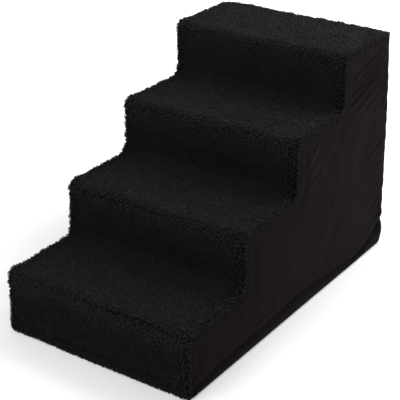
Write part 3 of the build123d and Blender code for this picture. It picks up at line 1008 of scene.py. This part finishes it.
def plush_material():
    """Black curly pile: painted shade between the clumps, in the parted lines and low on the
    risers, painted light over the noses, with fine fibres and soft patches
    """
    n = Material("plush", (0.011, 0.0095, 0.0103), 1.0, 0.04, 0.02, (1, 0.95, 0.98))
    pile = n.colors(
        n.shade(),
        (0.0, (0.0009, 0.0008, 0.0010)),
        (0.45, (0.0055, 0.0052, 0.0057)),
        (0.85, (0.0126, 0.0105, 0.0116)),
        (1.0, (0.0215, 0.0172, 0.0191)),
    )
    n.color(n.tinted(n.tinted(pile, n.noise(24, 3), 0.9, 1.1), n.noise(420, 2), 0.82, 1.18))
    fibres = n.noise(1500, 2, 0.6, n.moved((1, 1, 0.6)))
    n.bump((fibres, 0.5 * MM), (n.noise(430, 2), 0.5 * MM))
    return n.data


def suede_material():
    """Brushed black cloth: cloudy nap, drawn lines along the pull, fine grain, darkened by the
    mesh's painted shade
    """
    n = Material("suede", (0.006, 0.0042, 0.005), 0.9, 0.022, 0.03, (1, 0.8, 0.88))
    drawn = n.noise(1.0, 3, 0.6, n.moved((140, 22, 170), (math.radians(-24), 0, 0)))
    clouds = n.noise(34, 5, 0.62)
    mixed = n.mixed(clouds, 0.65, drawn)
    nap = n.colors(mixed, (0.36, (0.0038, 0.0024, 0.0031)), (0.64, (0.0062, 0.0041, 0.0049)))
    nap = n.tinted(nap, n.noise(900, 2, 0.7), 0.9, 1.1)
    # The mesh's painted shade darkens the nap
    n.color(n.tinted(nap, n.shade(), 0.3, 0.7))
    n.roughness(n.numbers(clouds, 0.82, 0.98, 0.3, 0.7))
    n.bump(
        (n.noise(60, 3, 0.55), 0.55 * MM),
        (drawn, 0.10 * MM),
        (n.noise(1700, 2, 0.7), 0.09 * MM),
    )
    return n.data


def base_cloth_material():
    """Plain woven lining cloth"""
    n = Material("base_cloth", (0.02, 0.02, 0.021), 0.85, 0.05, 0.15)
    weave = n.math("MULTIPLY", n.wave(520, "X", 0.6), n.wave(520, "Y", 0.6))
    n.color(n.colors(weave, (0.0, (0.009, 0.009, 0.0095)), (0.8, (0.024, 0.0235, 0.025))))
    n.bump((weave, 0.25 * MM), (n.noise(50, 2), 0.4 * MM))
    return n.data


def tape_material():
    """Twill zip tape: slanting ribs along its length"""
    n = Material("zip_cloth", (0.007, 0.007, 0.0078), 0.9, 0.02, 0.05)
    ribs = n.wave(430, "X", 0.4, n.moved((1, 1, 0.9), (0, math.radians(38), 0)))
    rows = n.wave(360, "Z", 0.3)
    cloth = n.mixed(ribs, 0.65, rows)
    n.color(n.colors(cloth, (0.1, (0.003, 0.003, 0.0034)), (0.9, (0.0105, 0.0105, 0.0117))))
    n.roughness(n.numbers(n.noise(300, 2), 0.82, 0.98))
    n.bump((cloth, 0.22 * MM), (n.noise(1800, 2), 0.04 * MM))
    return n.data


def moulded_material(name, color, low_rough, high_rough, specular):
    """Moulded or painted surface: fine skin, uneven gloss, a little dust in its colour"""
    n = Material(name, color, low_rough, 0.0, specular)
    wear = n.noise(700, 4, 0.6)
    light = tuple(channel * 1.5 + 0.002 for channel in color)
    n.color(n.colors(wear, (0.35, color), (0.75, light)))
    n.roughness(n.numbers(n.noise(260, 3), low_rough, high_rough, 0.3, 0.7))
    n.bump((n.noise(2600, 2), 0.03 * MM), (n.cells(900), 0.02 * MM))
    return n.data


def foam_material():
    """Open-cell foam: small round cells, a warm off-white"""
    n = Material("foam", (0.72, 0.7, 0.64), 1.0, 0.0, 0.1)
    cells = n.cells(900)
    n.color(n.colors(cells, (0.05, (0.52, 0.49, 0.42)), (0.5, (0.76, 0.74, 0.68))))
    n.bump((cells, 0.5 * MM), (n.noise(35, 3), 0.8 * MM))
    return n.data


def thread_material():
    """Twisted sewing thread"""
    n = Material("thread", (0.009, 0.0075, 0.0085), 0.7, 0.04, 0.15)
    twist = n.wave(900, "X", 0.2, n.moved((1, 1, 1), (0, math.radians(35), 0)))
    n.color(n.colors(twist, (0.1, (0.0045, 0.0038, 0.0043)), (0.8, (0.0145, 0.012, 0.0135))))
    n.bump((twist, 0.12 * MM))
    return n.data


def rubber_material():
    """Moulded rubber of the non-slip dots"""
    n = Material("rubber", (0.016, 0.016, 0.017), 0.55, 0.0, 0.35)
    n.color(n.colors(n.noise(500, 3), (0.3, (0.012, 0.012, 0.013)), (0.7, (0.022, 0.022, 0.023))))
    n.roughness(n.numbers(n.noise(900, 2), 0.5, 0.75))
    n.bump((n.noise(2200, 2), 0.05 * MM))
    return n.data


suede = suede_material()
thread = thread_material()
materials = {
    "foam": foam_material(),
    "plush": plush_material(),
    "suede": suede,
    "base_cloth": base_cloth_material(),
    "zip_cloth": tape_material(),
    "zip_plastic": moulded_material("zip_plastic", (0.006, 0.006, 0.0064), 0.5, 0.68, 0.16),
    "zip_metal": moulded_material("zip_metal", (0.009, 0.009, 0.0098), 0.32, 0.52, 0.3),
}
for part in frame["record"]["subparts"]:
    node = frame["nodes"][part["node"]]
    node.data.materials.clear()
    node.data.materials.append(materials[part["material_slot"]])

plush_strip(materials["plush"])
side_panels(suede)
back_cloth("back_panel", panel_bottom, panel_top + SEAM_OVERLAP, suede, thread)
back_cloth("back_strip", FLOOR_GAP, strip_top, suede, thread)
zip_tape("zip_tape_upper", materials["zip_cloth"])
zip_tape("zip_tape_lower", materials["zip_cloth"])
base_pieces(materials["base_cloth"], rubber_material())


# Floor, camera and light


def looked_at(tree):
    """1 where a ray comes from the camera, straight or by gloss or glass, and 0 for other light"""
    rays = add_node(tree, "ShaderNodeLightPath", {}).outputs
    total = rays["Is Camera Ray"]
    for name in ("Is Glossy Ray", "Is Transmission Ray"):
        larger = add_node(tree, "ShaderNodeMath", {0: total, 1: rays[name]}, "MAXIMUM")
        total = larger.outputs["Value"]
    return total


def floor_material():
    """White floor that keeps the object's shadow and is plain white further away"""
    n = Material("floor_white", (0.9, 0.9, 0.9), 1.0, 0, 0)
    away = n.add("ShaderNodeVectorMath", {0: n.place}, "LENGTH")
    strength = n.numbers(away.outputs["Value"], 0.12, 1.0, 0.45, 1.8)
    shown = n.math("MULTIPLY", strength, looked_at(n.tree))
    n.feed({"Emission Color": (1, 1, 1, 1), "Emission Strength": shown})
    return n.data


def white_floor():
    reach = FLOOR_REACH
    corners = [(-reach, -reach, 0), (reach, -reach, 0), (reach, reach, 0), (-reach, reach, 0)]
    floor = mesh_object("floor", corners, [(0, 1, 2, 3)])
    floor.data.materials.append(floor_material())


def white_world():
    """Plain white behind the object, and an even cool light on it"""
    world = bpy.data.worlds.new("studio")
    bpy.context.scene.world = world
    world.use_nodes = True
    tree = world.node_tree
    tree.nodes.clear()
    seen = add_node(tree, "ShaderNodeBackground", {"Color": (1, 1, 1, 1)})
    lit = add_node(tree, "ShaderNodeBackground", {"Color": (0.94, 0.97, 1.0, 1), "Strength": 0.5})
    inputs = {"Fac": looked_at(tree), 1: lit.outputs[0], 2: seen.outputs[0]}
    mix = add_node(tree, "ShaderNodeMixShader", inputs)
    add_node(tree, "ShaderNodeOutputWorld", {"Surface": mix.outputs[0]})


def aimed(name, data, place, way):
    """A new lamp or camera at a place, pointed along a way"""
    holder = bpy.data.objects.new(name, data)
    holder.location = place
    holder.rotation_euler = way.to_track_quat("-Z", "Y").to_euler()
    bpy.context.scene.collection.objects.link(holder)
    return holder


def lamps():
    for name, (place, aim, size, power) in LAMPS.items():
        light = bpy.data.lights.new(name, "AREA")
        light.energy, light.size = power, size
        aimed(name, light, place, Vector(aim) - Vector(place))


def camera():
    lens = bpy.data.cameras.new("camera")
    lens.lens = FOCAL_LENGTH
    level = math.cos(ELEVATION)
    away = Vector((math.sin(AZIMUTH) * level, -math.cos(AZIMUTH) * level, math.sin(ELEVATION)))
    place = Vector(CAMERA_TARGET) + away * CAMERA_DISTANCE
    bpy.context.scene.camera = aimed("camera", lens, place, -away)


bpy.context.scene.view_settings.view_transform = "Standard"
white_floor()
white_world()
lamps()
camera()
